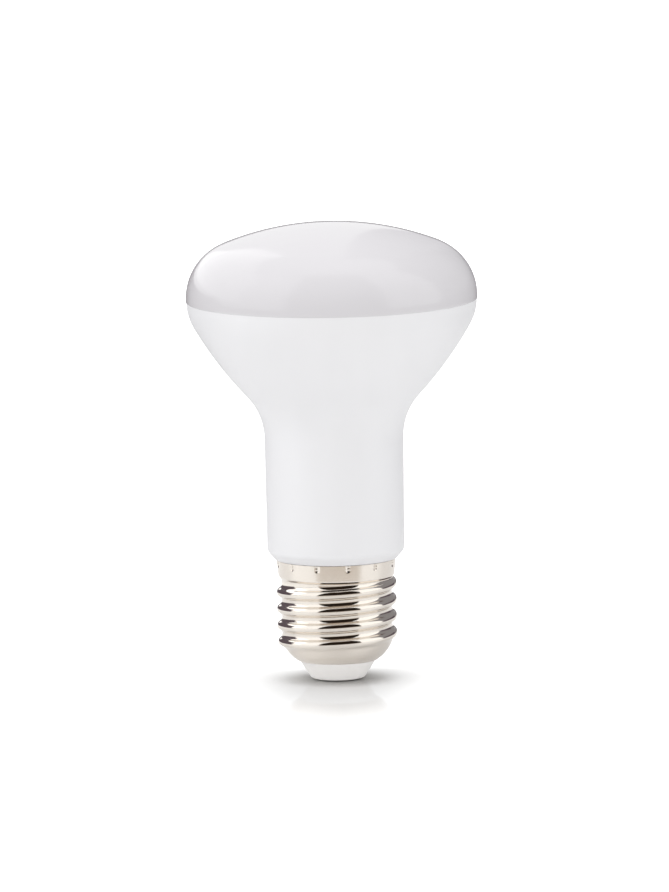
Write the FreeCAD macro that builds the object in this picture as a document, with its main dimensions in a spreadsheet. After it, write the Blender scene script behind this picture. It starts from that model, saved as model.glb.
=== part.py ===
import FreeCAD, Part
import math
import os
import re
import Sketcher

from FreeCAD import Vector

# A mains reflector lamp, 63 mm across and 100 mm tall, as it stands on its centre contact.
# An opal dome is glued into a white moulded housing. The housing narrows to a neck, whose spigot
# fills a nickel-plated screw cap: a thin shell with a rolled thread, an insulator and a contact.
# The lamp is sealed and can't be seen into, so housing and dome are solid inside.
# Lengths are millimetres, +Z is up, and the origin is the middle of the contact's flat face.

doc = FreeCAD.newDocument("ReflectorBulb")
sheet = doc.addObject("Spreadsheet::Sheet", "Sizes")

SIZES = [
    # Centre contact: a flat nickel disc on a shank
    ("contact_diameter", 8.0),
    ("contact_thickness", 0.8),
    ("contact_proud", 0.3),
    ("contact_edge", 0.25),
    ("shank_diameter", 3.0),
    # Insulator: the plastic plug that holds the contact in the end of the shell
    ("insulator_show", 4.05),
    ("insulator_height", 7.2),
    ("insulator_face_width", 1.65),
    ("insulator_edge", 1.1),
    ("insulator_clearance", 0.1),
    # Screw shell: pressed sheet, with heights counted from its lower edge
    ("sheet_thickness", 0.3),
    ("root_diameter", 24.1),
    ("collar_foot", 17.9),
    ("collar_height", 4.25),
    ("collar_step", 0.7),
    ("collar_inside_step", 1.75),
    ("collar_stand_out", 0.6),
    ("collar_flare", 0.35),
    ("toe_radius", 8.0),
    ("toe_reach", 7.55),
    ("toe_centre_height", 6.75),
    ("bore_inset", 3.55),
    # Rolled thread: one right-handed rounded ridge that rises out of the shell and sinks into it
    ("thread_depth", 1.05),
    ("thread_pitch", 3.629),
    ("thread_angle", 141.0),
    ("thread_start", 2.7),
    ("thread_run_out", 0.85),
    ("thread_fade", 1.7),
    # Punch marks that fix the collar to the spigot
    ("punch_count", 12),
    ("punch_angle", 11.3),
    ("punch_drop", 0.75),
    ("punch_radius", 0.7),
    ("punch_depth", 0.18),
    # Housing: heights counted from its underside, over the collar's rim
    ("rim_gap", 0.15),
    ("spigot_slack", 0.45),
    ("spigot_clearance", 0.1),
    ("spigot_gap", 0.3),
    ("underside_edge", 0.325),
    ("chamfer_width", 1.6),
    ("chamfer_height", 1.8),
    ("chamfer_round", 1.5),
    ("neck_draft", 0.2),
    ("neck_length", 24.65),
    ("flare_radius", 13.8),
    ("flank_radius", 82.0),
    ("shoulder_radius", 11.2),
    ("bowl_height", 30.1),
    ("bowl_diameter", 63.1),
    # Dome: heights counted from the seam
    ("lip_inset", 1.85),
    ("lip_depth", 2.4),
    ("lip_clearance", 0.1),
    ("rim_overhang", 0.1),
    ("dome_rim_height", 0.75),
    ("dome_rim_edge", 0.12),
    ("dome_shoulder_radius", 12.3),
    ("dome_height", 16.8),
]

for row, (name, number) in enumerate(SIZES, start=1):
    sheet.set("A%d" % row, name)
    sheet.set("B%d" % row, str(number))
    sheet.setAlias("B%d" % row, name)
doc.recompute()


def size(name):
    """A driving dimension as the sheet holds it."""
    return float(sheet.get(name))


def bind(thing, place, text):
    """Ties a property to an expression in which every size has its plain name."""
    thing.setExpression(place, re.sub(r"\b([a-z]+(?:_[a-z]+)+)\b", r"Sizes.\1", text))


def number(text):
    """The value of an expression made of sizes and numbers joined by + - * / with spaces."""
    total, term, sign, work = 0.0, 0.0, 1.0, "+"
    for word in text.split():
        if word in ("+", "-"):
            total += sign * term
            sign = 1.0 if word == "+" else -1.0
            work = "+"
        elif word in ("*", "/"):
            work = word
        else:
            value = size(word) if "_" in word else float(word)
            if work == "*":
                term *= value
            elif work == "/":
                term /= value
            else:
                term = value
    return total + sign * term


# Seats of the pieces, each on top of the one before
SHELL_SEAT = "contact_proud + insulator_show"
HOUSING_SEAT = SHELL_SEAT + " + collar_foot + collar_height + rim_gap"
DOME_SEAT = HOUSING_SEAT + " + chamfer_height + neck_length + bowl_height"

# Radii that more than one piece takes its size from
ROOT = "root_diameter / 2"
COLLAR_FOOT = ROOT + " + collar_stand_out"
COLLAR_RIM = COLLAR_FOOT + " + collar_flare"
TOE_ACROSS = ROOT + " - toe_reach"
TOE_BORE = ROOT + " - bore_inset"
BOWL = "bowl_diameter / 2"
LIP = BOWL + " - lip_inset"

START, END, CENTRE = 1, 2, 3
FLAT_AXIS_INDEX, UPRIGHT_AXIS_INDEX = -1, -2

# Two places closer than this, in mm, are the same place
SAME_PLACE = 1e-4


def new_body(name, seat):
    """An empty body whose frame stands at its seat on the lamp's axis."""
    body = doc.addObject("PartDesign::Body", name)
    body.Label = name
    if seat:
        bind(body, "Placement.Base.z", seat)
    return body


class Section:
    """Half the section of a turned piece: across is the radius, up is the lamp's axis."""

    def __init__(self, body, across, up):
        self.body = body
        self.sketch = body.newObject("Sketcher::SketchObject", body.Name + "_section")
        planes = [plane for plane in body.Origin.OriginFeatures if plane.Role == "XZ_Plane"]
        self.sketch.AttachmentSupport = [(planes[0], "")]
        self.sketch.MapMode = "FlatFace"
        self.texts = (across, up)
        self.first = self.place = (number(across), number(up))
        self.runs = []

    def tie(self, constraint, text):
        """A dimension of the sketch, tied to an expression of the sizes."""
        place = self.sketch.addConstraint(constraint)
        bind(self.sketch, "Constraints[%d]" % place, text)

    def pin(self, curve, end, across, up):
        """Holds a point of a run at a radius and a height; None leaves that one free."""
        if across == "0":
            self.sketch.addConstraint(Sketcher.Constraint("PointOnObject", curve, end, UPRIGHT_AXIS_INDEX))
        elif across:
            self.tie(Sketcher.Constraint("DistanceX", -1, 1, curve, end, number(across)), across)
        if up == "0":
            self.sketch.addConstraint(Sketcher.Constraint("PointOnObject", curve, end, FLAT_AXIS_INDEX))
        elif up:
            self.tie(Sketcher.Constraint("DistanceY", -1, 1, curve, end, number(up)), up)

    def add(self, shape, first_end, last_end, place, smooth):
        """Adds a run that goes on from the last one, at a corner or smoothly."""
        curve = self.sketch.addGeometry(shape, False)
        if self.runs:
            kind = "Tangent" if smooth else "Coincident"
            before, _, end = self.runs[-1]
            self.sketch.addConstraint(Sketcher.Constraint(kind, before, end, curve, first_end))
        else:
            self.pin(curve, first_end, *self.texts)
        self.runs.append((curve, first_end, last_end))
        self.place = place
        return curve

    def line(self, across, up, smooth=False):
        """A straight run to a point that the sizes give."""
        place = (number(across), number(up))
        self.line_near(place, across, up, smooth)

    def line_near(self, place, across, up, smooth=False):
        """A straight run to about this place, held at those expressions that aren't None."""
        shape = Part.LineSegment(Vector(*self.place, 0), Vector(*place, 0))
        curve = self.add(shape, START, END, place, smooth)
        self.pin(curve, END, across, up)

    def arc(self, centre, place, radius, across=None, up=None, smooth=False):
        """A round run about a centre to about this place."""
        from_angle = math.atan2(self.place[1] - centre[1], self.place[0] - centre[0])
        to_angle = math.atan2(place[1] - centre[1], place[0] - centre[0])
        circle = Part.Circle(Vector(*centre, 0), Vector(0, 0, 1), math.dist(centre, place))
        swing = (to_angle - from_angle + math.pi) % (2.0 * math.pi) - math.pi
        if swing > 0.0:
            shape = Part.ArcOfCircle(circle, from_angle, from_angle + swing)
            curve = self.add(shape, START, END, place, smooth)
            self.pin(curve, END, across, up)
        else:
            shape = Part.ArcOfCircle(circle, to_angle, to_angle - swing)
            curve = self.add(shape, END, START, place, smooth)
            self.pin(curve, START, across, up)
        if radius:
            self.tie(Sketcher.Constraint("Radius", curve, math.dist(centre, place)), radius)
        return curve

    def close(self):
        """The last straight run, back to the first corner."""
        self.line_near(self.first, None, None)
        first, first_end, _ = self.runs[0]
        last, _, last_end = self.runs[-1]
        self.sketch.addConstraint(Sketcher.Constraint("Coincident", last, last_end, first, first_end))

    def turn(self):
        """The section swept once round the axis."""
        feature = self.body.newObject("PartDesign::Revolution", self.body.Name + "_turned")
        feature.Profile = self.sketch
        feature.ReferenceAxis = (self.sketch, ["V_Axis"])
        feature.Angle = 360.0
        doc.recompute()
        return feature


def round_edge(body, turned, across, up, radius):
    """A fillet on the turned shape's circular edge at this radius and height."""
    fillet = body.newObject("PartDesign::Fillet", body.Name + "_rounded")
    for place, edge in enumerate(turned.Shape.Edges, start=1):
        if edge.Degenerated or not isinstance(edge.Curve, Part.Circle):
            continue
        miss = abs(edge.Curve.Radius - number(across)) + abs(edge.Curve.Center.z - number(up))
        if miss < SAME_PLACE:
            fillet.Base = (turned, ["Edge%d" % place])
    bind(fillet, "Radius", radius)
    doc.recompute()
    return fillet


def across_circle(centre, radius, up):
    """The outer point of a circle at a height."""
    return centre[0] + math.sqrt(radius**2 - (centre[1] - up) ** 2), up


def down_circle(centre, radius, across):
    """The lower point of a circle at a radius from the lamp's axis."""
    return across, centre[1] - math.sqrt(radius**2 - (across - centre[0]) ** 2)


# Centre contact: a turned disc with a broken edge and a shank that goes up through the insulator
contact = new_body("centre_contact", "")
outline = Section(contact, "0", "0")
outline.line("contact_diameter / 2 - contact_edge", "0")
outline.line("contact_diameter / 2", "contact_edge")
outline.line("contact_diameter / 2", "contact_thickness")
outline.line("shank_diameter / 2", "contact_thickness")
outline.line("shank_diameter / 2", "contact_proud + insulator_height")
outline.line("0", "contact_proud + insulator_height")
outline.close()
outline.turn()

# Insulator: a cone that shows under the shell, a neck in the shell's edge and a flange that
# follows the inside of the rounded toe; the contact's disc sits in a recess in its face
insulator = new_body("insulator", "contact_proud")
bore = "shank_diameter / 2 + insulator_clearance"
recess = "contact_diameter / 2 + insulator_clearance"
foot = recess + " + insulator_face_width"
neck = TOE_BORE + " - insulator_clearance"
flange_centre = (number(TOE_ACROSS), number("insulator_show + toe_centre_height"))
flange_radius = "toe_radius - sheet_thickness - insulator_clearance"
flange_top = across_circle(flange_centre, number(flange_radius), number("insulator_height"))
flange_foot = down_circle(flange_centre, number(flange_radius), number(neck))
outline = Section(insulator, bore, "contact_thickness - contact_proud")
outline.line(bore, "insulator_height")
outline.line_near(flange_top, None, "insulator_height")
flange = outline.arc(flange_centre, flange_foot, flange_radius, across=neck)
outline.pin(flange, CENTRE, TOE_ACROSS, "insulator_show + toe_centre_height")
outline.line(neck, "insulator_show")
outline.line(foot, "0")
outline.line(recess, "0")
outline.line(recess, "contact_thickness - contact_proud")
outline.close()
round_edge(insulator, outline.turn(), foot, "0", "insulator_edge")

# Screw shell, first as a full core: a toe that curls in round the insulator, the wall at the
# thread's root, and a collar that steps out and widens to its rim
inside = ROOT + " - sheet_thickness"
collar_top = "collar_foot + collar_height"
toe_centre = (number(TOE_ACROSS), number("toe_centre_height"))
toe_end = down_circle(toe_centre, number("toe_radius"), number(ROOT))
shell_core = new_body("shell_core", "")
outline = Section(shell_core, "0", "0")
outline.line_near(across_circle(toe_centre, number("toe_radius"), 0.0), None, "0")
toe = outline.arc(toe_centre, toe_end, "toe_radius", across=ROOT)
outline.pin(toe, CENTRE, TOE_ACROSS, "toe_centre_height")
outline.line(ROOT, "collar_foot")
outline.line(COLLAR_FOOT, "collar_foot + collar_step")
outline.line(COLLAR_RIM, collar_top)
outline.line("0", collar_top)
outline.close()
outline.turn()

# The hollow that leaves the sheet: open at the toe's bore and at the rim
shell_hollow = new_body("shell_hollow", "")
inside_step = "collar_foot + collar_inside_step"
inner_toe = number("toe_radius - sheet_thickness")
outline = Section(shell_hollow, "0", "- sheet_thickness")
outline.line(TOE_BORE, "- sheet_thickness")
outline.line_near(down_circle(toe_centre, inner_toe, number(TOE_BORE)), TOE_BORE, None)
toe = outline.arc(
    toe_centre,
    down_circle(toe_centre, inner_toe, number(inside)),
    "toe_radius - sheet_thickness",
    across=inside,
)
outline.pin(toe, CENTRE, TOE_ACROSS, "toe_centre_height")
outline.line(inside, inside_step)
outline.line(COLLAR_FOOT + " - sheet_thickness", inside_step)
outline.line(COLLAR_RIM + " - sheet_thickness", collar_top)
outline.line(COLLAR_RIM + " - sheet_thickness", collar_top + " + sheet_thickness")
outline.line("0", collar_top + " + sheet_thickness")
outline.close()
outline.turn()

# Half of the thread's section, from its foot just under the wall to the edge of its crest: the
# share of half a pitch from the crest's middle, and the share of the thread's depth
RIDGE_HALF = [(0.80, -0.10), (0.55, 0.40), (0.24, 0.975)]
RIDGE_STEPS = 16


def thread_ridge():
    """The rolled thread: a right-handed ridge of constant pitch that climbs the shell's wall.

    Its section is the round-topped one of screw caps, drawn with five flat strips: a crest, two
    flanks and two feet. It rises out of the toe and sinks into the collar over the fade length,
    and its back lies deep in the core.
    """
    pitch = size("thread_pitch")
    length = number("collar_foot + thread_run_out - thread_start")
    fade_length = size("thread_fade")
    depth = size("thread_depth")
    back = number(TOE_BORE)
    section = [(-along, rise) for along, rise in RIDGE_HALF]
    section += [(along, rise) for along, rise in reversed(RIDGE_HALF)]
    section = [(section[0][0], None)] + section + [(section[-1][0], None)]
    steps = round(length / pitch * RIDGE_STEPS)
    start_angle = math.radians(size("thread_angle")) + 2.0 * math.pi * size("thread_start") / pitch
    rails = []
    for along, rise in section:
        points = []
        for step in range(steps + 1):
            climb = length * step / steps
            angle = start_angle + 2.0 * math.pi * climb / pitch
            height = size("thread_start") + climb + along * pitch / 2.0
            risen = min(climb, length - climb, fade_length) / fade_length
            share = risen**2 * (3.0 - 2.0 * risen)
            radius = back
            if rise is not None:
                wall = number(ROOT)
                if height < toe_end[1]:
                    wall = across_circle(toe_centre, number("toe_radius"), height)[0]
                sunk = RIDGE_HALF[0][1]
                radius = wall + depth * (sunk + (rise - sunk) * share)
            points.append(Vector(radius * math.cos(angle), radius * math.sin(angle), height))
        rail = Part.BSplineCurve()
        rail.interpolate(Points=points, Parameters=[float(step) for step in range(steps + 1)])
        rails.append(rail)
    faces = []
    for lower, upper in zip(rails, rails[1:] + rails[:1]):
        strip = Part.BSplineSurface()
        strip.buildFromPolesMultsKnots(
            list(zip(lower.getPoles(), upper.getPoles())),
            lower.getMultiplicities(),
            [2, 2],
            lower.getKnots(),
            [0.0, 1.0],
            False,
            False,
            lower.Degree,
            1,
        )
        for first in range(0, steps, RIDGE_STEPS // 2):
            piece = strip.copy()
            piece.segment(float(first), float(min(first + RIDGE_STEPS // 2, steps)), 0.0, 1.0)
            faces.append(piece.toShape())
    for tips in ([rail.StartPoint for rail in rails], [rail.EndPoint for rail in rails]):
        faces.append(Part.Face(Part.makePolygon(tips + tips[:1])))
    skin = Part.makeShell(faces)
    skin.sewShape()
    solid = Part.makeSolid(skin)
    if solid.Volume < 0.0:
        solid.reverse()
    return solid


ridge = doc.addObject("Part::Feature", "thread_ridge")
ridge.Shape = thread_ridge()
threaded_core = doc.addObject("Part::Fuse", "threaded_core")
threaded_core.Base = shell_core
threaded_core.Tool = ridge
hollow_shell = doc.addObject("Part::Cut", "hollow_shell")
hollow_shell.Base = threaded_core
hollow_shell.Tool = shell_hollow

# A ring of round punch marks under the collar's rim, pressed in to grip the spigot
punches = []
reach = COLLAR_RIM + " + punch_radius - punch_depth"
for place in range(int(size("punch_count"))):
    punch = doc.addObject("Part::Sphere", "punch_%02d" % (place + 1))
    bind(punch, "Radius", "punch_radius")
    turned_to = "(punch_angle + 360 * %d / punch_count)" % place
    bind(punch, "Placement.Base.x", "(%s) * cos(%s * 1deg)" % (reach, turned_to))
    bind(punch, "Placement.Base.y", "(%s) * sin(%s * 1deg)" % (reach, turned_to))
    bind(punch, "Placement.Base.z", "collar_foot + collar_height - punch_drop")
    punches.append(punch)
marks = doc.addObject("Part::MultiFuse", "punch_marks")
marks.Shapes = punches
screw_shell = doc.addObject("Part::Cut", "screw_shell")
screw_shell.Label = "screw_shell"
screw_shell.Base = hollow_shell
screw_shell.Tool = marks
bind(screw_shell, "Placement.Base.z", SHELL_SEAT)

# Housing: a solid moulding whose spigot fills the shell; chamfered foot, slightly drafted neck,
# then a hollow flare, a long bulging flank and a round shoulder that ends upright at the seam
housing = new_body("housing", HOUSING_SEAT)
spigot = ROOT + " - sheet_thickness - spigot_slack"
spigot_end = (
    "- rim_gap - collar_height - collar_foot + insulator_height - insulator_show + spigot_gap"
)
seat_end = "- rim_gap - collar_height + collar_inside_step"
seat_rim = COLLAR_RIM + " - sheet_thickness - spigot_clearance"
seat_foot = COLLAR_FOOT + " - sheet_thickness - spigot_clearance"
underside = COLLAR_RIM + " + underside_edge"
neck_foot = underside + " + chamfer_width"
neck_top = neck_foot + " + neck_draft"
flare_up = "chamfer_height + neck_length"
seam_up = "chamfer_height + neck_length + bowl_height"
groove = LIP + " + lip_clearance"


def crossing(first, first_radius, second, second_radius):
    """Where two circles cross, on the left of the way from the first centre to the second."""
    gap = math.dist(first, second)
    along = (first_radius**2 - second_radius**2 + gap**2) / (2.0 * gap)
    off = math.sqrt(first_radius**2 - along**2)
    ahead = ((second[0] - first[0]) / gap, (second[1] - first[1]) / gap)
    return first[0] + along * ahead[0] - off * ahead[1], first[1] + along * ahead[1] + off * ahead[0]


def between(first, second, share):
    """The point at this share of the way from one point to another."""
    return tuple(a + (b - a) * share for a, b in zip(first, second))


flare_start = (number(neck_top), number(flare_up))
draft = math.atan2(size("neck_draft"), size("neck_length"))
flare_radius = size("flare_radius")
flank_radius = size("flank_radius")
shoulder_radius = size("shoulder_radius")
flare_centre = (
    flare_start[0] + flare_radius * math.cos(draft),
    flare_start[1] - flare_radius * math.sin(draft),
)
shoulder_centre = (number(BOWL + " - shoulder_radius"), number(seam_up))
flank_centre = crossing(
    flare_centre, flare_radius + flank_radius, shoulder_centre, flank_radius - shoulder_radius
)
flare_end = between(flare_centre, flank_centre, flare_radius / (flare_radius + flank_radius))
flank_end = between(flank_centre, shoulder_centre, flank_radius / (flank_radius - shoulder_radius))

outline = Section(housing, "0", spigot_end)
outline.line(spigot, spigot_end)
outline.line(spigot, seat_end)
outline.line(seat_foot, seat_end)
outline.line(seat_rim, "0")
outline.line(underside, "0")
outline.line(neck_foot, "chamfer_height")
outline.line(neck_top, flare_up)
outline.arc(flare_centre, flare_end, "flare_radius", smooth=True)
outline.arc(flank_centre, flank_end, "flank_radius", smooth=True)
shoulder = outline.arc(
    shoulder_centre,
    (number(BOWL), number(seam_up)),
    "shoulder_radius",
    across=BOWL,
    up=seam_up,
    smooth=True,
)
outline.pin(shoulder, CENTRE, None, seam_up)
outline.line(groove, seam_up)
outline.line(groove, seam_up + " - lip_depth - lip_clearance")
outline.line("0", seam_up + " - lip_depth - lip_clearance")
outline.close()
round_edge(housing, outline.turn(), neck_foot, "chamfer_height", "chamfer_round")

# Dome: the opal front, a shallow crown with a tight round shoulder; its lip sits in the housing
# and its rim stands a little proud of the seam, with a rounded edge
dome = new_body("diffuser", DOME_SEAT)
dome_radius = BOWL + " + rim_overhang"
shoulder_radius = size("dome_shoulder_radius")
shoulder_centre = (number(dome_radius + " - dome_shoulder_radius"), number("dome_rim_height"))
rise = number("dome_height - dome_rim_height")
crown_radius = (shoulder_centre[0] ** 2 + rise**2 - shoulder_radius**2) / (2.0 * (rise - shoulder_radius))
crown_centre = (0.0, number("dome_height") - crown_radius)
shoulder_end = between(crown_centre, shoulder_centre, crown_radius / (crown_radius - shoulder_radius))
outline = Section(dome, "0", "- lip_depth")
outline.line(LIP, "- lip_depth")
outline.line(LIP, "0")
outline.line(dome_radius, "0")
outline.line(dome_radius, "dome_rim_height")
outline.arc(shoulder_centre, shoulder_end, "dome_shoulder_radius", smooth=True)
crown = outline.arc(
    crown_centre, (0.0, number("dome_height")), None, across="0", up="dome_height", smooth=True
)
outline.pin(crown, CENTRE, "0", None)
outline.close()
round_edge(dome, outline.turn(), dome_radius, "0", "dome_rim_edge")

doc.recompute()
for thing in doc.Objects:
    if "Invalid" in thing.State or "Error" in thing.State:
        raise RuntimeError("%s failed: %s" % (thing.Name, thing.State))

os.makedirs("parts", exist_ok=True)
for piece in (contact, insulator, screw_shell, housing, dome):
    shape = piece.Shape
    if shape.isNull() or not shape.isValid() or len(shape.Solids) != 1:
        raise RuntimeError("%s is not one valid solid" % piece.Label)
    shape.exportStep("parts/%s.step" % piece.Label)
    box = shape.BoundBox
    print(
        "%-15s volume %9.1f mm3, radius %6.3f, z %7.3f to %7.3f"
        % (piece.Label, shape.Volume, box.XMax, box.ZMin, box.ZMax)
    )
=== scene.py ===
import math

import bmesh
import bpy
from mathutils import Matrix, Vector


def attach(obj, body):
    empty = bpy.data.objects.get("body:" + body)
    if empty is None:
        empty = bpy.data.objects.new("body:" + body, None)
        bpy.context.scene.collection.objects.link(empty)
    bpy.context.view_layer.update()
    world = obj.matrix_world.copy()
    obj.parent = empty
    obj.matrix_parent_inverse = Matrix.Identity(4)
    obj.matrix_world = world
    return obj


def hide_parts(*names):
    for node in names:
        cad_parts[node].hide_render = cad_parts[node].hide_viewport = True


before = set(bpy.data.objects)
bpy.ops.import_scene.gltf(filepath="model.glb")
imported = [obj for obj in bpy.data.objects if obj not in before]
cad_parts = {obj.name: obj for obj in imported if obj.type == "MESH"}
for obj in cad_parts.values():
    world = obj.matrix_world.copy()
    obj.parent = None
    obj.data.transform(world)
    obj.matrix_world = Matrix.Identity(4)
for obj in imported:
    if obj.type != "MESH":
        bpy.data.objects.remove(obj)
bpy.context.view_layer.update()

# Centre contact
# A small disc stamped from nickel-plated sheet and pressed into the insulator's face, with a shank
# up through its bore. The lamp stands on it, so it shows only from below.
MM = 0.001
AROUND = 240
ROUNDING_STEPS = 6
MERGE_WITHIN = 0.001
CREASE = math.radians(30.0)
CONTACT_RADIUS = 4.0
CONTACT_THICK = 0.8
CONTACT_EDGE = 0.25
SHANK_RADIUS = 1.5
SHANK_TOP = 7.5
RING_SPACING = 0.417
RING_REACH = 16.7
PATCH_SIZE = 2.86
PATCH_SWING = 0.3


class Outline:
    """Half the section of a turned piece, drawn run by run; radius and height are in mm."""

    def __init__(self, radius, height):
        self.mesh = bmesh.new()
        self.first = self.mesh.verts.new((radius * MM, 0.0, height * MM))
        self.tip = self.first
        self.rounding = 0.0

    def line(self, radius, height, steps=1, rounding=0.0):
        """A straight run to a point, in equal steps; rounding softens the corner at its far end."""
        end = Vector((radius * MM, 0.0, height * MM))
        if self.rounding:
            self.soften(end)
        start = self.tip.co.copy()
        for step in range(1, steps + 1):
            self.tip = bmesh.ops.extrude_vert_indiv(self.mesh, verts=[self.tip])["verts"][0]
            self.tip.co = start.lerp(end, step / steps)
        self.rounding = rounding

    def soften(self, end):
        """Rounds the corner at the tip, between the last run and the one that goes on to end."""
        before = self.tip.link_edges[0].other_vert(self.tip).co
        inward = (self.tip.co - before).normalized()
        onward = (end - self.tip.co).normalized()
        turned = inward.angle(onward)
        side = -1.0 if inward.cross(onward).y > 0.0 else 1.0
        self.tip.co -= inward * self.rounding * MM * math.tan(turned / 2.0)
        across = Vector((-inward.z, 0.0, inward.x)) * side
        centre = (self.tip.co + across * self.rounding * MM) / MM
        self.arc((centre.x, centre.z), math.degrees(turned) * side, ROUNDING_STEPS)

    def arc(self, centre, degrees, steps):
        """A round run about a centre; positive degrees turn from outwards to upwards."""
        swept = bmesh.ops.spin(
            self.mesh,
            geom=[self.tip],
            cent=(centre[0] * MM, 0.0, centre[1] * MM),
            axis=(0.0, -1.0, 0.0),
            angle=math.radians(degrees),
            steps=steps,
        )
        self.tip = next(part for part in swept["geom_last"] if isinstance(part, bmesh.types.BMVert))
        self.rounding = 0.0

    def arc_to(self, centre, radius, height, steps):
        """A round run about a centre, the short way to the direction of a point."""
        now = math.atan2(self.tip.co.z / MM - centre[1], self.tip.co.x / MM - centre[0])
        then = math.atan2(height - centre[1], radius - centre[0])
        swing = (then - now + math.pi) % (2.0 * math.pi) - math.pi
        self.arc(centre, math.degrees(swing), steps)

    def turn(self, around=AROUND, closed=False):
        """The outline swept once round the axis, after a last run to its start if it is closed."""
        if closed:
            self.mesh.edges.new((self.tip, self.first))
        bmesh.ops.spin(
            self.mesh,
            geom=self.mesh.verts[:] + self.mesh.edges[:],
            cent=(0.0, 0.0, 0.0),
            axis=(0.0, 0.0, 1.0),
            angle=2.0 * math.pi,
            steps=around,
            use_merge=True,
        )
        bmesh.ops.remove_doubles(self.mesh, verts=self.mesh.verts[:], dist=MERGE_WITHIN * MM)
        bmesh.ops.recalc_face_normals(self.mesh, faces=self.mesh.faces[:])
        return self.mesh


def piece_from(mesh, name, node, material):
    """Makes the finished mesh an object that stands for a node of the frame."""
    for face in mesh.faces:
        face.smooth = True
    for edge in mesh.edges:
        edge.smooth = edge.is_manifold and edge.calc_face_angle() < CREASE
    data = bpy.data.meshes.new(name)
    mesh.to_mesh(data)
    mesh.free()
    data.materials.append(material)
    piece = bpy.data.objects.new(name, data)
    bpy.context.scene.collection.objects.link(piece)
    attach(piece, "root")
    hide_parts(node)
    return piece


def linear(code):
    """The linear colour of an sRGB hex value."""
    parts = [int(code[place:place + 2], 16) / 255.0 for place in (0, 2, 4)]
    return [c / 12.92 if c <= 0.04045 else ((c + 0.055) / 1.055) ** 2.4 for c in parts] + [1.0]


def add_node(tree, kind, settings, inputs):
    """A node with its settings; an input gets a plain value or the output of another node."""
    made = tree.nodes.new(kind)
    for name, value in settings.items():
        setattr(made, name, value)
    for name, value in inputs.items():
        if isinstance(value, bpy.types.NodeSocket):
            tree.links.new(value, made.inputs[name])
        else:
            made.inputs[name].default_value = value
    return made


def empty_material(name):
    """A new material with nothing in its tree."""
    material = bpy.data.materials.new(name)
    material.use_nodes = True
    material.node_tree.nodes.clear()
    return material


def bright_nickel_plate(name, colour, roughness, ring_depth, rolled=None):
    """Nickel plated bright on drawn sheet: a warm mirror, blurred a little by the tool's fine rings.

    The rings run round the piece about 0.4 mm apart, coarser than the real ones, which wouldn't
    show, and the blur comes and goes in patches some millimetres wide. Where rollers have pressed
    the sheet, they have burnished it: rolled gives that band's middle and half height, how softly
    it ends, and its own roughness.
    """
    material = empty_material(name)
    tree = material.node_tree
    place = add_node(tree, "ShaderNodeTexCoord", {}, {}).outputs["Object"]
    ring_size = (RING_REACH, RING_REACH, RING_SPACING)
    stretched = add_node(
        tree,
        "ShaderNodeMapping",
        {},
        {"Vector": place, "Scale": [1.0 / (size * MM) for size in ring_size]},
    ).outputs["Vector"]
    rings = add_node(
        tree, "ShaderNodeTexNoise", {}, {"Vector": stretched, "Scale": 1.0, "Detail": 3.0}
    ).outputs["Fac"]
    patches = add_node(
        tree,
        "ShaderNodeTexNoise",
        {},
        {"Vector": place, "Scale": 1.0 / (PATCH_SIZE * MM), "Detail": 2.0},
    ).outputs["Fac"]
    bump = add_node(
        tree,
        "ShaderNodeBump",
        {},
        {"Height": rings, "Strength": 1.0, "Distance": ring_depth * MM},
    ).outputs["Normal"]
    base_blur = roughness
    if rolled:
        middle, half, fade, burnished = rolled
        height = add_node(tree, "ShaderNodeSeparateXYZ", {}, {"Vector": place}).outputs["Z"]
        above_middle = add_node(
            tree, "ShaderNodeMath", {"operation": "SUBTRACT"}, {0: height, 1: middle * MM}
        ).outputs["Value"]
        from_middle = add_node(
            tree, "ShaderNodeMath", {"operation": "ABSOLUTE"}, {0: above_middle}
        ).outputs["Value"]
        base_blur = add_node(
            tree,
            "ShaderNodeMapRange",
            {},
            {
                "Value": from_middle,
                "From Min": (half - fade) * MM,
                "From Max": (half + fade) * MM,
                "To Min": burnished,
                "To Max": roughness,
            },
        ).outputs["Result"]
    blotch = add_node(
        tree,
        "ShaderNodeMapRange",
        {},
        {"Value": patches, "To Min": 1.0 - PATCH_SWING, "To Max": 1.0 + PATCH_SWING},
    ).outputs["Result"]
    blur = add_node(
        tree, "ShaderNodeMath", {"operation": "MULTIPLY"}, {0: base_blur, 1: blotch}
    ).outputs["Value"]
    shader = add_node(
        tree,
        "ShaderNodeBsdfPrincipled",
        {},
        {"Base Color": linear(colour), "Metallic": 1.0, "Roughness": blur, "Normal": bump},
    )
    add_node(tree, "ShaderNodeOutputMaterial", {}, {"Surface": shader.outputs["BSDF"]})
    return material


outline = Outline(0.0, 0.0)
outline.line(CONTACT_RADIUS, 0.0, rounding=CONTACT_EDGE)
outline.line(CONTACT_RADIUS, CONTACT_THICK)
outline.line(SHANK_RADIUS, CONTACT_THICK)
outline.line(SHANK_RADIUS, SHANK_TOP)
outline.line(0.0, SHANK_TOP)
contact_plate = bright_nickel_plate("contact_nickel", "cfc8bd", roughness=0.25, ring_depth=0.002)
piece_from(outline.turn(), "centre_contact_disc", "centre_contact", contact_plate)

# Insulator
# A plug moulded from off-white thermoplastic that closes the shell's lower end and keeps the contact
# away from it. It is held by the curled toe; its rounded cone shows below the metal.
FACE_HEIGHT = 0.3
SHELL_SEAT = 4.35
INSULATOR_TOP = 7.5
INSULATOR_BORE = 1.6
RECESS_RADIUS = 4.1
FOOT_RADIUS = 5.75
FOOT_ROUND = 1.1
INSULATOR_NECK = 8.4
FLANGE_ROUND = 7.6
FLANGE_STEPS = 8
INSULATOR_GRAIN = 0.333
INSULATOR_MOTTLE = 4.0
INSULATOR_GRAIN_DEPTH = 0.01
# Where the shell's toe and the flange inside it are curled round, as radius and height
TOE_CENTRE = (4.5, SHELL_SEAT + 6.75)


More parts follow.
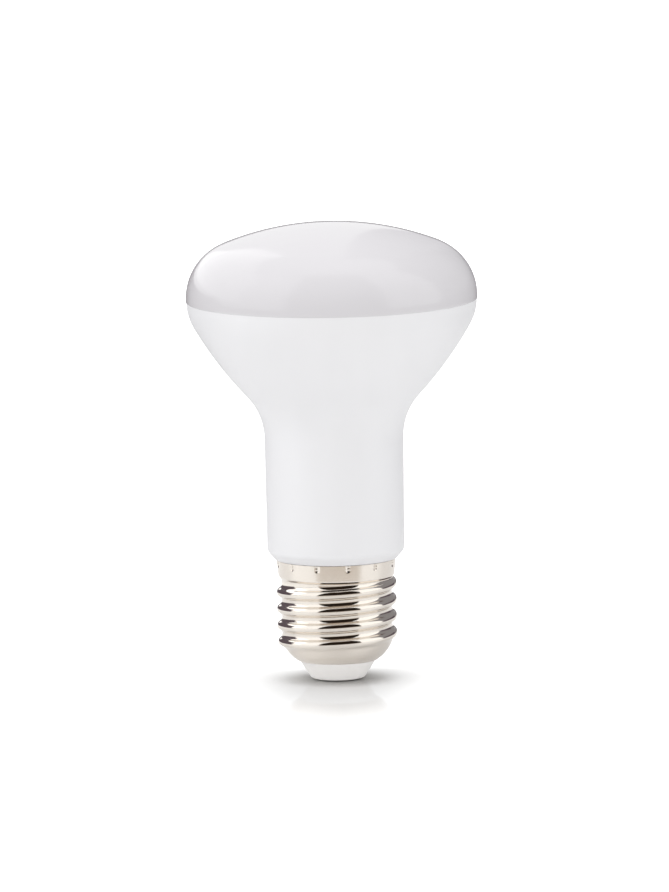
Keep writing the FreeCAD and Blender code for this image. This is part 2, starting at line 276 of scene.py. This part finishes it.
def moulded_insulator_plastic():
    """Off-white thermoplastic from a polished mould: a soft sheen and a very faint mottle."""
    material = empty_material("insulator_thermoplastic")
    tree = material.node_tree
    place = add_node(tree, "ShaderNodeTexCoord", {}, {}).outputs["Object"]
    grain = add_node(
        tree,
        "ShaderNodeTexNoise",
        {},
        {"Vector": place, "Scale": 1.0 / (INSULATOR_GRAIN * MM), "Detail": 2.0},
    ).outputs["Fac"]
    mottle = add_node(
        tree,
        "ShaderNodeTexNoise",
        {},
        {"Vector": place, "Scale": 1.0 / (INSULATOR_MOTTLE * MM), "Detail": 1.0},
    ).outputs["Fac"]
    colour = add_node(
        tree,
        "ShaderNodeMix",
        {"data_type": "RGBA"},
        {"Factor": mottle, "A": linear("faf8f6"), "B": linear("fcfaf8")},
    ).outputs["Result"]
    bump = add_node(
        tree,
        "ShaderNodeBump",
        {},
        {"Height": grain, "Strength": 0.2, "Distance": INSULATOR_GRAIN_DEPTH * MM},
    ).outputs["Normal"]
    shader = add_node(
        tree,
        "ShaderNodeBsdfPrincipled",
        {},
        {"Base Color": colour, "Roughness": 0.35, "IOR": 1.5, "Normal": bump},
    )
    add_node(tree, "ShaderNodeOutputMaterial", {}, {"Surface": shader.outputs["BSDF"]})
    return material


outline = Outline(INSULATOR_BORE, CONTACT_THICK)
outline.line(RECESS_RADIUS, CONTACT_THICK)
outline.line(RECESS_RADIUS, FACE_HEIGHT)
outline.line(FOOT_RADIUS, FACE_HEIGHT, rounding=FOOT_ROUND)
outline.line(INSULATOR_NECK, SHELL_SEAT)
neck_rise = math.sqrt(FLANGE_ROUND**2 - (INSULATOR_NECK - TOE_CENTRE[0]) ** 2)
outline.line(INSULATOR_NECK, TOE_CENTRE[1] - neck_rise)
flange_across = math.sqrt(FLANGE_ROUND**2 - (INSULATOR_TOP - TOE_CENTRE[1]) ** 2)
outline.arc_to(TOE_CENTRE, TOE_CENTRE[0] + flange_across, INSULATOR_TOP, FLANGE_STEPS)
outline.line(INSULATOR_BORE, INSULATOR_TOP)
piece_from(
    outline.turn(closed=True),
    "insulator_plug",
    "insulator",
    moulded_insulator_plastic(),
)

# Screw shell
# Thin sheet, drawn to a cup and nickel-plated: its toe curls in round the insulator, its wall is
# rolled to a rounded right-hand thread, and a collar with punch marks grips the housing's spigot.
SHEET = 0.3
SHELL_AROUND = 480
ROOT_RADIUS = 12.05
TOE_ROUND = 8.0
TOE_BORE = 8.5
COLLAR_FOOT = SHELL_SEAT + 17.9
COLLAR_STEP = 0.7
COLLAR_FOOT_RADIUS = 12.65
COLLAR_BEND = 0.5
COLLAR_INSIDE = SHELL_SEAT + 19.65
RIM_RADIUS = 13.0
RIM_TOP = SHELL_SEAT + 22.15
CREST_LIFT = 1.05
PITCH = 3.629
THREAD_ANGLE = 141.0
THREAD_FOOT = SHELL_SEAT + 2.7
THREAD_TOP = SHELL_SEAT + 18.75
THREAD_FADE = 1.7
WALL_STEP = 0.13
TOE_STEPS = 40
TOE_INSIDE_STEPS = 12
COLLAR_STEPS = 28
PUNCH_COUNT = 12
PUNCH_ANGLE = 11.3
PUNCH_DROP = 0.75
PUNCH_APART = 0.3
PUNCH_WIDE = 0.6
PUNCH_DEPTH = 0.28
# The toe's lip and the rim stay as they were cut, over these heights
LIP_KEPT = 0.5
RIM_KEPT = 0.05
# The thread's rollers burnish the wall, from the toe's curl to the foot of the collar
ROLLED_MIDDLE = 15.0
ROLLED_HALF = 7.8
ROLLED_FADE = 0.6
ROLLED_ROUGHNESS = 0.1


def eased(share):
    """A share held between 0 and 1, with a soft start and end."""
    share = min(max(share, 0.0), 1.0)
    return share * share * (3.0 - 2.0 * share)


def thread_lift(angle, height):
    """How far the rolled wall stands out of its root, in mm: round crests in round valleys."""
    turns = (math.degrees(angle) - THREAD_ANGLE) / 360.0
    off = (height - SHELL_SEAT - PITCH * turns + PITCH / 2.0) % PITCH - PITCH / 2.0
    bend = (PITCH**2 / 4.0 + CREST_LIFT**2) / (4.0 * CREST_LIFT)
    if abs(off) < PITCH / 4.0:
        lift = CREST_LIFT - bend + math.sqrt(bend**2 - off**2)
    else:
        lift = bend - math.sqrt(bend**2 - (PITCH / 2.0 - abs(off)) ** 2)
    crest = height - off
    return lift * eased(min(crest - THREAD_FOOT, THREAD_TOP - crest) / THREAD_FADE)


def punch_sink(angle, height):
    """How far a punch has pressed the collar in, in mm: two dots, one over the other."""
    spacing = 360.0 / PUNCH_COUNT
    off = (math.degrees(angle) - PUNCH_ANGLE + spacing / 2.0) % spacing - spacing / 2.0
    along = math.radians(off) * RIM_RADIUS
    sink = 0.0
    for side in (-PUNCH_APART, PUNCH_APART):
        away = math.hypot(along, height - (RIM_TOP - PUNCH_DROP) - side)
        sink = max(sink, PUNCH_DEPTH * eased(1.0 - away / PUNCH_WIDE))
    return sink


def on_outer_face(radius, height):
    """Whether a point lies on the shell's outer face, clear of the toe's lip and of the rim."""
    if height > toe_top:
        return radius > ROOT_RADIUS - SHEET / 2.0 and height < RIM_TOP - RIM_KEPT
    reach = math.dist((radius, height), TOE_CENTRE)
    return reach > TOE_ROUND - SHEET / 2.0 and height > SHELL_SEAT + LIP_KEPT


toe_edge = TOE_CENTRE[0] + math.sqrt(TOE_ROUND**2 - (SHELL_SEAT - TOE_CENTRE[1]) ** 2)
toe_top = TOE_CENTRE[1] - math.sqrt(TOE_ROUND**2 - (ROOT_RADIUS - TOE_CENTRE[0]) ** 2)
inner_round = TOE_ROUND - SHEET
bore_radius = ROOT_RADIUS - SHEET
inner_top = TOE_CENTRE[1] - math.sqrt(inner_round**2 - (bore_radius - TOE_CENTRE[0]) ** 2)
inner_foot = TOE_CENTRE[1] - math.sqrt(inner_round**2 - (TOE_BORE - TOE_CENTRE[0]) ** 2)
outline = Outline(TOE_BORE, inner_foot)
outline.line(TOE_BORE, SHELL_SEAT)
outline.line(toe_edge, SHELL_SEAT)
outline.arc_to(TOE_CENTRE, ROOT_RADIUS, toe_top, TOE_STEPS)
wall_steps = round((COLLAR_FOOT - toe_top) / WALL_STEP)
outline.line(ROOT_RADIUS, COLLAR_FOOT, wall_steps, rounding=COLLAR_BEND)
outline.line(COLLAR_FOOT_RADIUS, COLLAR_FOOT + COLLAR_STEP, rounding=COLLAR_BEND)
outline.line(RIM_RADIUS, RIM_TOP, COLLAR_STEPS)
outline.line(RIM_RADIUS - SHEET, RIM_TOP)
outline.line(COLLAR_FOOT_RADIUS - SHEET, COLLAR_INSIDE)
outline.line(bore_radius, COLLAR_INSIDE)
outline.line(bore_radius, inner_top)
outline.arc_to(TOE_CENTRE, TOE_BORE, inner_foot, TOE_INSIDE_STEPS)
shell = outline.turn(SHELL_AROUND, closed=True)
for corner in shell.verts:
    radius = math.hypot(corner.co.x, corner.co.y) / MM
    height = corner.co.z / MM
    if not on_outer_face(radius, height):
        continue
    angle = math.atan2(corner.co.y, corner.co.x)
    lift = thread_lift(angle, height) if height < COLLAR_FOOT + COLLAR_STEP else 0.0
    room_to_crest = max(0.0, ROOT_RADIUS + CREST_LIFT - radius)
    moved = min(lift, room_to_crest) - punch_sink(angle, height)
    corner.co.xy *= (radius + moved) / radius
shell_plate = bright_nickel_plate(
    "shell_nickel",
    "ece5dc",
    roughness=0.22,
    ring_depth=0.004,
    rolled=(ROLLED_MIDDLE, ROLLED_HALF, ROLLED_FADE, ROLLED_ROUGHNESS),
)
piece_from(shell, "rolled_screw_shell", "screw_shell", shell_plate)

# Housing
# One moulding of white thermoplastic: a spigot in the shell, a chamfered foot, a slim drafted neck
# and a flared bowl. The mould was finely blasted, so the skin is satin, with faint flow lines.
UNDERSIDE = 26.65
SPIGOT_RADIUS = 11.3
SPIGOT_FOOT = 7.8
SEAT_FOOT = UNDERSIDE - 2.65
SEAT_FOOT_RADIUS = 12.25
SEAT_RIM_RADIUS = 12.6
UNDERSIDE_RADIUS = 13.325
NECK_FOOT = (14.925, 28.45)
NECK_FOOT_ROUND = 1.5
UNDERSIDE_EDGE = 0.2
NECK_TOP = (15.125, 53.1)
FLARE_ROUND = 13.8
FLANK_ROUND = 82.0
SHOULDER_ROUND = 11.2
SEAM = 83.2
BOWL_RADIUS = 31.55
GROOVE_RADIUS = 29.8
GROOVE_FOOT = 80.7
HOUSING_GRAIN = 0.303
HOUSING_GRAIN_DEPTH = 0.01
# The flow lines' size along X, Y and Z, the turn that picks which part of the pattern shows, and how
# far the lines stand out
FLOW_SIZE = (6.25, 20.0, 50.0)
FLOW_TURN = -35.0
FLOW_RISE = 0.08


def satin_white_plastic():
    """White thermoplastic from a blasted mould: matt white, a soft sheen, faint upright flow lines.

    The blasted grain is drawn 0.3 mm coarse, about three times the real one, so that it shows.
    """
    material = empty_material("housing_thermoplastic")
    tree = material.node_tree
    place = add_node(tree, "ShaderNodeTexCoord", {}, {}).outputs["Object"]
    grain = add_node(
        tree,
        "ShaderNodeTexNoise",
        {},
        {"Vector": place, "Scale": 1.0 / (HOUSING_GRAIN * MM), "Detail": 1.0},
    ).outputs["Fac"]
    lengthened = add_node(
        tree,
        "ShaderNodeMapping",
        {},
        {
            "Vector": place,
            "Rotation": (0.0, math.radians(FLOW_TURN), 0.0),
            "Scale": [1.0 / (size * MM) for size in FLOW_SIZE],
        },
    ).outputs["Vector"]
    flow = add_node(
        tree, "ShaderNodeTexNoise", {}, {"Vector": lengthened, "Scale": 1.0, "Detail": 1.0}
    ).outputs["Fac"]
    colour = add_node(
        tree,
        "ShaderNodeMix",
        {"data_type": "RGBA"},
        {"Factor": flow, "A": linear("e9e9eb"), "B": linear("ececee")},
    ).outputs["Result"]
    waves = add_node(
        tree, "ShaderNodeBump", {}, {"Height": flow, "Strength": 1.0, "Distance": FLOW_RISE * MM}
    ).outputs["Normal"]
    bump = add_node(
        tree,
        "ShaderNodeBump",
        {},
        {
            "Height": grain,
            "Strength": 0.25,
            "Distance": HOUSING_GRAIN_DEPTH * MM,
            "Normal": waves,
        },
    ).outputs["Normal"]
    shader = add_node(
        tree,
        "ShaderNodeBsdfPrincipled",
        {},
        {"Base Color": colour, "Roughness": 0.48, "IOR": 1.5, "Normal": bump},
    )
    add_node(tree, "ShaderNodeOutputMaterial", {}, {"Surface": shader.outputs["BSDF"]})
    return material


def crossing(first, first_radius, second, second_radius):
    """Where two circles cross, on the left of the way from the first centre to the second."""
    gap = math.dist(first, second)
    along = (first_radius**2 - second_radius**2 + gap**2) / (2.0 * gap)
    off = math.sqrt(first_radius**2 - along**2)
    ahead = ((second[0] - first[0]) / gap, (second[1] - first[1]) / gap)
    radius = first[0] + along * ahead[0] - off * ahead[1]
    height = first[1] + along * ahead[1] + off * ahead[0]
    return radius, height


def between(first, second, share):
    """The point at this share of the way from one point to another."""
    return tuple(a + (b - a) * share for a, b in zip(first, second))


draft = math.atan2(NECK_TOP[0] - NECK_FOOT[0], NECK_TOP[1] - NECK_FOOT[1])
flare_centre = (
    NECK_TOP[0] + FLARE_ROUND * math.cos(draft),
    NECK_TOP[1] - FLARE_ROUND * math.sin(draft),
)
shoulder_centre = (BOWL_RADIUS - SHOULDER_ROUND, SEAM)
flank_centre = crossing(
    flare_centre, FLARE_ROUND + FLANK_ROUND, shoulder_centre, FLANK_ROUND - SHOULDER_ROUND
)
flare_end = between(flare_centre, flank_centre, FLARE_ROUND / (FLARE_ROUND + FLANK_ROUND))
flank_end = between(flank_centre, shoulder_centre, FLANK_ROUND / (FLANK_ROUND - SHOULDER_ROUND))
outline = Outline(0.0, SPIGOT_FOOT)
outline.line(SPIGOT_RADIUS, SPIGOT_FOOT)
outline.line(SPIGOT_RADIUS, SEAT_FOOT)
outline.line(SEAT_FOOT_RADIUS, SEAT_FOOT)
outline.line(SEAT_RIM_RADIUS, UNDERSIDE)
outline.line(UNDERSIDE_RADIUS, UNDERSIDE, rounding=UNDERSIDE_EDGE)
outline.line(*NECK_FOOT, rounding=NECK_FOOT_ROUND)
outline.line(*NECK_TOP, steps=12)
outline.arc_to(flare_centre, *flare_end, steps=16)
outline.arc_to(flank_centre, *flank_end, steps=24)
outline.arc_to(shoulder_centre, BOWL_RADIUS, SEAM, steps=16)
outline.line(GROOVE_RADIUS, SEAM)
outline.line(GROOVE_RADIUS, GROOVE_FOOT)
outline.line(0.0, GROOVE_FOOT)
piece_from(outline.turn(), "moulded_housing", "housing", satin_white_plastic())

# Dome
# The lamp's front, moulded from opal plastic that spreads the light: a shallow crown with a tight
# round shoulder. Its lip is glued into the housing and its rim stands a little proud of the seam.
DOME_RADIUS = 31.65
RIM_EDGE = 0.12
DOME_RIM_TOP = SEAM + 0.75
DOME_SHOULDER = 12.3
DOME_TOP = 100.0
LIP_RADIUS = 29.7
LIP_FOOT = 80.8
CLOUD_SIZE = 20.0
PEEL_SIZE = 2.5
PEEL_DEPTH = 0.01


def opal_plastic():
    """Opal plastic from a polished mould: an even milky white under a clear, faintly uneven gloss."""
    material = empty_material("dome_opal_plastic")
    tree = material.node_tree
    place = add_node(tree, "ShaderNodeTexCoord", {}, {}).outputs["Object"]
    cloud = add_node(
        tree,
        "ShaderNodeTexNoise",
        {},
        {"Vector": place, "Scale": 1.0 / (CLOUD_SIZE * MM), "Detail": 1.0},
    ).outputs["Fac"]
    colour = add_node(
        tree,
        "ShaderNodeMix",
        {"data_type": "RGBA"},
        {"Factor": cloud, "A": linear("d5d3d6"), "B": linear("d8d6d9")},
    ).outputs["Result"]
    orange_peel = add_node(
        tree,
        "ShaderNodeTexNoise",
        {},
        {"Vector": place, "Scale": 1.0 / (PEEL_SIZE * MM), "Detail": 1.0},
    ).outputs["Fac"]
    bump = add_node(
        tree,
        "ShaderNodeBump",
        {},
        {"Height": orange_peel, "Strength": 0.3, "Distance": PEEL_DEPTH * MM},
    ).outputs["Normal"]
    shader = add_node(
        tree,
        "ShaderNodeBsdfPrincipled",
        {},
        {"Base Color": colour, "Roughness": 0.1, "IOR": 1.42, "Normal": bump},
    )
    add_node(tree, "ShaderNodeOutputMaterial", {}, {"Surface": shader.outputs["BSDF"]})
    return material


# The crown's round passes through the top and takes over from the shoulder's without a corner
dome_shoulder_centre = (DOME_RADIUS - DOME_SHOULDER, DOME_RIM_TOP)
rise = DOME_TOP - DOME_RIM_TOP
reach_squared = dome_shoulder_centre[0] ** 2 + rise**2
crown_round = (reach_squared - DOME_SHOULDER**2) / (2.0 * (rise - DOME_SHOULDER))
crown_centre = (0.0, DOME_TOP - crown_round)
past_shoulder = crown_round / (crown_round - DOME_SHOULDER)
shoulder_end = between(crown_centre, dome_shoulder_centre, past_shoulder)
outline = Outline(0.0, LIP_FOOT)
outline.line(LIP_RADIUS, LIP_FOOT)
outline.line(LIP_RADIUS, SEAM)
outline.line(DOME_RADIUS, SEAM, rounding=RIM_EDGE)
outline.line(DOME_RADIUS, DOME_RIM_TOP)
outline.arc_to(dome_shoulder_centre, *shoulder_end, steps=28)
outline.arc_to(crown_centre, 0.0, DOME_TOP, steps=24)
piece_from(outline.turn(), "opal_dome", "diffuser", opal_plastic())

# Floor
# A wide sheet of glossy white acrylic, the studio's table. It is no part of the lamp; it takes the
# soft shadow and a faded mirror image of the cap.
FLOOR_HALF = 6.0
# The share of mirror sheen, how far from the lamp's axis, in metres, it starts to fade and is gone,
# and its roughness
SHEEN = 0.3
SHEEN_START = 0.035
SHEEN_END = 0.09
SHEEN_BLUR = 0.05
# Close under the foot, the sheet has next to no sheen and is painted greyer, a painted contact shadow
PAINTED_SHADOW_FULL = 0.005
PAINTED_SHADOW_END = 0.016
# The lamp's own reflections see an even, softer sheen
LAMP_SIDE_SHEEN = 0.16
LAMP_SIDE_BLUR = 0.4
# The camera sees the sheet lifted to white away from the foot by a painted glow, which trims the
# lamp's shadow to a narrow patch. In front, where the mirror image of the cap lies, distances count by
# their FRONT_SHARE only; behind, the lift gains strength
FLOOR_LIFT = 0.4
LIFT_START = 0.007
LIFT_END = 0.026
FRONT_SHARE = 0.28
BACK_GAIN = 2.0
BACK_START = 0.01
BACK_END = 0.02


def white_acrylic_table():
    """White acrylic, polished: matt white below a clear face with a sheen that fades out, painted grey
    under the foot as a painted contact shadow, and lifted to white further out by a painted glow that
    only the camera sees.
    """
    material = empty_material("table_acrylic")
    tree = material.node_tree
    place = add_node(tree, "ShaderNodeTexCoord", {}, {}).outputs["Object"]
    away = add_node(tree, "ShaderNodeVectorMath", {"operation": "LENGTH"}, {0: place}).outputs["Value"]
    by_camera = add_node(tree, "ShaderNodeLightPath", {}, {}).outputs["Is Camera Ray"]
    fading_sheen = add_node(
        tree,
        "ShaderNodeMapRange",
        {"interpolation_type": "SMOOTHSTEP"},
        {
            "Value": away,
            "From Min": SHEEN_START,
            "From Max": SHEEN_END,
            "To Min": SHEEN,
            "To Max": 0.0,
        },
    ).outputs["Result"]
    # Mask of the painted contact shadow: 0 close under the foot, 1 outside it; it also takes the sheen
    # away there
    outside_painted_shadow = add_node(
        tree,
        "ShaderNodeMapRange",
        {"interpolation_type": "SMOOTHSTEP"},
        {"Value": away, "From Min": PAINTED_SHADOW_FULL, "From Max": PAINTED_SHADOW_END},
    ).outputs["Result"]
    camera_sheen = add_node(
        tree, "ShaderNodeMath", {"operation": "MULTIPLY"}, {0: fading_sheen, 1: outside_painted_shadow}
    ).outputs["Value"]
    # Painted contact shadow: the camera sees the sheet painted grey, b0afad, under the foot
    camera_white_with_painted_shadow = add_node(
        tree,
        "ShaderNodeMix",
        {"data_type": "RGBA"},
        {"Factor": outside_painted_shadow, "A": linear("b0afad"), "B": linear("e6e6e6")},
    ).outputs["Result"]
    # Painted bounce light: the light bounced onto the bulb and its reflections see the sheet painted a
    # brighter white, f0f0f0, than the camera does
    white = add_node(
        tree,
        "ShaderNodeMix",
        {"data_type": "RGBA"},
        {"Factor": by_camera, "A": linear("f0f0f0"), "B": camera_white_with_painted_shadow},
    ).outputs["Result"]
    matt = add_node(tree, "ShaderNodeBsdfDiffuse", {}, {"Color": white})
    blur = add_node(
        tree,
        "ShaderNodeMapRange",
        {},
        {"Value": by_camera, "To Min": LAMP_SIDE_BLUR, "To Max": SHEEN_BLUR},
    ).outputs["Result"]
    mirror = add_node(
        tree, "ShaderNodeBsdfAnisotropic", {}, {"Color": linear("ffffff"), "Roughness": blur}
    )
    sheen = add_node(
        tree,
        "ShaderNodeMix",
        {"data_type": "FLOAT"},
        {"Factor": by_camera, "A": LAMP_SIDE_SHEEN, "B": camera_sheen},
    ).outputs["Result"]
    surface = add_node(
        tree, "ShaderNodeMixShader", {}, {0: sheen, 1: matt.outputs["BSDF"], 2: mirror.outputs["BSDF"]}
    )
    shortened = add_node(
        tree, "ShaderNodeVectorMath", {"operation": "MULTIPLY"}, {0: place, 1: (1.0, FRONT_SHARE, 1.0)}
    ).outputs["Vector"]
    front_shortened = add_node(
        tree, "ShaderNodeVectorMath", {"operation": "MAXIMUM"}, {0: place, 1: shortened}
    ).outputs["Vector"]
    aside = add_node(
        tree, "ShaderNodeVectorMath", {"operation": "LENGTH"}, {0: front_shortened}
    ).outputs["Value"]
    raised = add_node(
        tree,
        "ShaderNodeMapRange",
        {"interpolation_type": "SMOOTHSTEP"},
        {
            "Value": aside,
            "From Min": LIFT_START,
            "From Max": LIFT_END,
            "To Min": 0.0,
            "To Max": FLOOR_LIFT,
        },
    ).outputs["Result"]
    depth = add_node(tree, "ShaderNodeSeparateXYZ", {}, {"Vector": place}).outputs["Y"]
    back_gain = add_node(
        tree,
        "ShaderNodeMapRange",
        {"interpolation_type": "SMOOTHSTEP"},
        {
            "Value": depth,
            "From Min": BACK_START,
            "From Max": BACK_END,
            "To Min": 1.0,
            "To Max": BACK_GAIN,
        },
    ).outputs["Result"]
    lifted = add_node(
        tree, "ShaderNodeMath", {"operation": "MULTIPLY"}, {0: raised, 1: back_gain}
    ).outputs["Value"]
    camera_lift = add_node(
        tree, "ShaderNodeMath", {"operation": "MULTIPLY"}, {0: by_camera, 1: lifted}
    ).outputs["Value"]
    # Painted glow that only the camera sees: it lifts the sheet to white away from the foot and so
    # trims the lamp's shadow
    glow = add_node(
        tree, "ShaderNodeEmission", {}, {"Color": linear("ffffff"), "Strength": camera_lift}
    )
    both = add_node(
        tree, "ShaderNodeAddShader", {}, {0: surface.outputs["Shader"], 1: glow.outputs["Emission"]}
    )
    add_node(tree, "ShaderNodeOutputMaterial", {}, {"Surface": both.outputs["Shader"]})
    return material


ground = bmesh.new()
bmesh.ops.create_grid(ground, x_segments=1, y_segments=1, size=FLOOR_HALF)
data = bpy.data.meshes.new("table")
ground.to_mesh(data)
ground.free()
data.materials.append(white_acrylic_table())
table = bpy.data.objects.new("table", data)
bpy.context.scene.collection.objects.link(table)

# Studio light
# The white room gives a plain even light, and soft lamps overhead, at both sides and in front shape
# the bulb. Screens that only reflections see stand round the table, and two cards near the bulb and
# one on the table give the bright metal of its cap dark and light ends.
ROOM_STRENGTH = 0.78
# Azimuths run from the camera's direction to the left, in degrees; then the lower and the upper edge
# as distance and height in metres, the colour, the strength up to FADE_START to the right and from
# FADE_END on, and the number of flat panels that the screen is made of
SCREENS = [
    ("camera_side_dark", -45.0, 37.0, (3.6, -0.05), (1.8, 3.1), "241c16", 1.0, 1.0, 48),
    ("camera_side_brown", -45.0, 37.0, (1.8, 3.1), (0.95, 3.45), "5c4c3e", 1.0, 1.0, 48),
    ("left_softbox", 37.5, 79.5, (3.6, -0.05), (1.8, 3.1), "ffffff", 1.2, 1.2, 24),
    ("right_softbox", -96.0, -45.5, (3.6, -0.05), (1.8, 3.1), "ffffff", 1.25, 1.25, 24),
    ("big_left_softbox", 80.0, 168.0, (3.5, 0.5), (2.9, 3.0), "ffffff", 1.6, 1.6, 1),
    ("back_right_dark", -176.0, -97.0, (3.6, 0.3), (1.8, 3.1), "a2a0a3", 1.9, 0.75, 48),
    ("low_back_dark", 97.0, 263.0, (3.6, -0.05), (3.6, 0.33), "706c70", 1.0, 1.0, 48),
    ("table_edge_dark", -180.0, 180.0, (0.5, 0.001), (3.6, 0.001), "706c70", 1.0, 1.0, 48),
    ("near_left_card", 97.0, 158.0, (0.15, 0.007), (0.15, 0.1), "6a6068", 0.8, 0.8, 24),
    ("near_right_card", -140.0, -97.0, (0.15, 0.007), (0.15, 0.05), "6a5f68", 0.75, 0.75, 24),
    ("front_table_card", -45.0, 37.0, (0.07, 0.001), (0.5, 0.001), "dad1c8", 0.95, 0.95, 48),
]
FADE_START = 0.1
FADE_END = 1.1

world = bpy.data.worlds.new("white_room")
world.use_nodes = True
world.node_tree.nodes.clear()
path = add_node(world.node_tree, "ShaderNodeLightPath", {}, {})
shown = path.outputs["Is Camera Ray"]
for ray in ("Is Glossy Ray", "Is Transmission Ray"):
    shown = add_node(
        world.node_tree, "ShaderNodeMath", {"operation": "MAXIMUM"}, {0: shown, 1: path.outputs[ray]}
    ).outputs["Value"]
strength = add_node(
    world.node_tree,
    "ShaderNodeMapRange",
    {},
    {"Value": shown, "To Min": ROOM_STRENGTH, "To Max": 1.0},
)
room = add_node(
    world.node_tree,
    "ShaderNodeBackground",
    {},
    {"Color": linear("ffffff"), "Strength": strength.outputs["Result"]},
)
add_node(world.node_tree, "ShaderNodeOutputWorld", {}, {"Surface": room.outputs["Background"]})
bpy.context.scene.world = world


def screen(name, from_azimuth, to_azimuth, low, high, colour, level, far_level, panels):
    """A screen bent round the lamp's axis that only reflections see."""
    sheet = bmesh.new()
    ends = [sheet.verts.new((0.0, -away, height)) for away, height in (low, high)]
    edge = sheet.edges.new(ends)
    to_start = Matrix.Rotation(math.radians(-from_azimuth), 3, "Z")
    bmesh.ops.rotate(sheet, verts=ends, cent=(0.0, 0.0, 0.0), matrix=to_start)
    bmesh.ops.spin(
        sheet,
        geom=ends + [edge],
        cent=(0.0, 0.0, 0.0),
        axis=(0.0, 0.0, 1.0),
        angle=math.radians(from_azimuth - to_azimuth),
        steps=panels,
    )
    data = bpy.data.meshes.new(name)
    sheet.to_mesh(data)
    sheet.free()
    material = empty_material(name)
    tree = material.node_tree
    place = add_node(tree, "ShaderNodeTexCoord", {}, {}).outputs["Object"]
    across = add_node(tree, "ShaderNodeSeparateXYZ", {}, {"Vector": place}).outputs["X"]
    strength = add_node(
        tree,
        "ShaderNodeMapRange",
        {},
        {
            "Value": across,
            "From Min": FADE_START,
            "From Max": FADE_END,
            "To Min": level,
            "To Max": far_level,
        },
    ).outputs["Result"]
    glow = add_node(tree, "ShaderNodeEmission", {}, {"Color": linear(colour), "Strength": strength})
    add_node(tree, "ShaderNodeOutputMaterial", {}, {"Surface": glow.outputs["Emission"]})
    data.materials.append(material)
    placed = bpy.data.objects.new(name, data)
    placed.visible_camera = False
    placed.visible_diffuse = False
    placed.visible_shadow = False
    bpy.context.scene.collection.objects.link(placed)


for entry in SCREENS:
    screen(*entry)


LAMP_AIM = Vector((0.0, 0.0, 0.05))
# Each lamp's place and side in metres, and its power in watts
SOFT_LAMPS = [
    ("overhead_lamp", (0.1, -0.04, 1.5), 0.8, 5.9),
    ("high_left_lamp", (-1.3, -0.3, 1.3), 1.0, 6.4),
    ("left_lamp", (-1.5, -0.9, 0.5), 1.2, 1.2),
    ("front_lamp", (0.4, -1.8, 0.3), 0.8, 2.7),
    ("right_lamp", (1.6, -0.6, 0.3), 1.0, 2.4),
]


def soft_lamp(name, place, side, power):
    """A square soft lamp that points at the bulb and that reflections don't see."""
    data = bpy.data.lights.new(name, "AREA")
    data.shape = "SQUARE"
    data.size = side
    data.energy = power
    lamp = bpy.data.objects.new(name, data)
    lamp.location = place
    lamp.rotation_mode = "QUATERNION"
    lamp.rotation_quaternion = (LAMP_AIM - Vector(place)).to_track_quat("-Z", "Y")
    lamp.visible_glossy = False
    bpy.context.scene.collection.objects.link(lamp)


for entry in SOFT_LAMPS:
    soft_lamp(*entry)

# Camera
# It looks a little down on the lamp through a long lens, rolled one degree as the lamp leans.
VIEW_AWAY = 3.0
VIEW_DOWN = math.radians(7.8)
VIEW_ROLL = math.radians(-1.0)
VIEW_AIM = Vector((0.00008, 0.0, 0.0511))
VIEW_END = 50.0
SENSOR_WIDTH = 36.0
# The picture's height, and what a slope of 1 off the middle would span, both in pixels
FRAME_HIGH = 892
PIXELS_PER_SLOPE = 13800.0
data = bpy.data.cameras.new("camera")
data.sensor_width = SENSOR_WIDTH
data.lens = PIXELS_PER_SLOPE * SENSOR_WIDTH / FRAME_HIGH
data.clip_end = VIEW_END
camera = bpy.data.objects.new("camera", data)
back = Vector((0.0, -math.cos(VIEW_DOWN), math.sin(VIEW_DOWN)))
camera.location = VIEW_AIM + back * VIEW_AWAY
turned = (-back).to_track_quat("-Z", "Y").to_matrix() @ Matrix.Rotation(VIEW_ROLL, 3, "Z")
camera.rotation_euler = turned.to_euler()
bpy.context.scene.collection.objects.link(camera)
bpy.context.scene.camera = camera
bpy.context.scene.view_settings.view_transform = "Standard"

bpy.context.view_layer.update()
